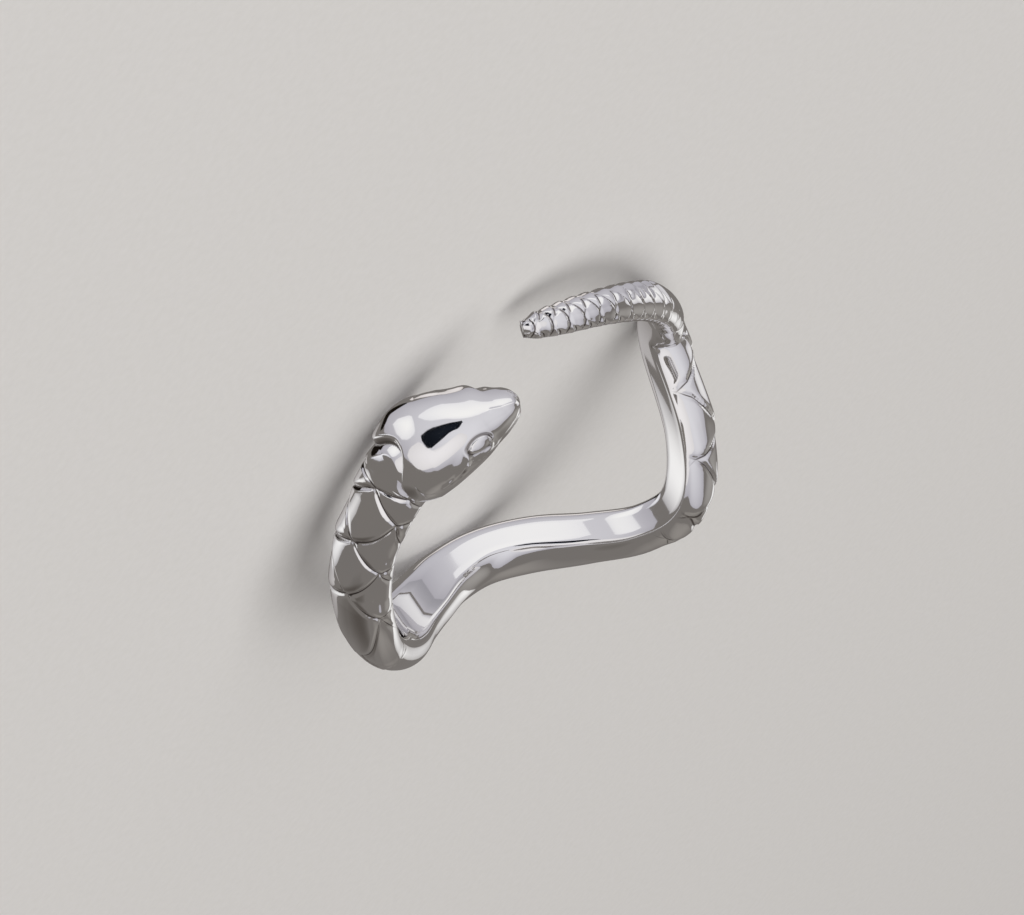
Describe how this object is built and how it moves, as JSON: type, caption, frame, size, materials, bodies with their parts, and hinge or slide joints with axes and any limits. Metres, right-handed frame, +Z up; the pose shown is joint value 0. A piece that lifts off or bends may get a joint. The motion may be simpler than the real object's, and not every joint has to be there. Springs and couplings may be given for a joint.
{
  "type": "snake wrap ring",
  "caption": "Open snake-shaped finger ring in polished silver: one cast band that waves round the finger from a smooth viper head to a tapering scaled tail.",
  "frame": {"origin": "centre of the bounding box's underside, on the surface the ring lies on", "axes": "+Z up from the surface; the finger axis leans 20 degrees from +Z towards +Y"},
  "size_m": [0.0208, 0.022, 0.0085],
  "materials": {
    "polished_silver": "mirror-polished cast silver"
  },
  "bodies": {
    "root": {"snake_ring": "polished_silver"}
  },
  "joints": []
}
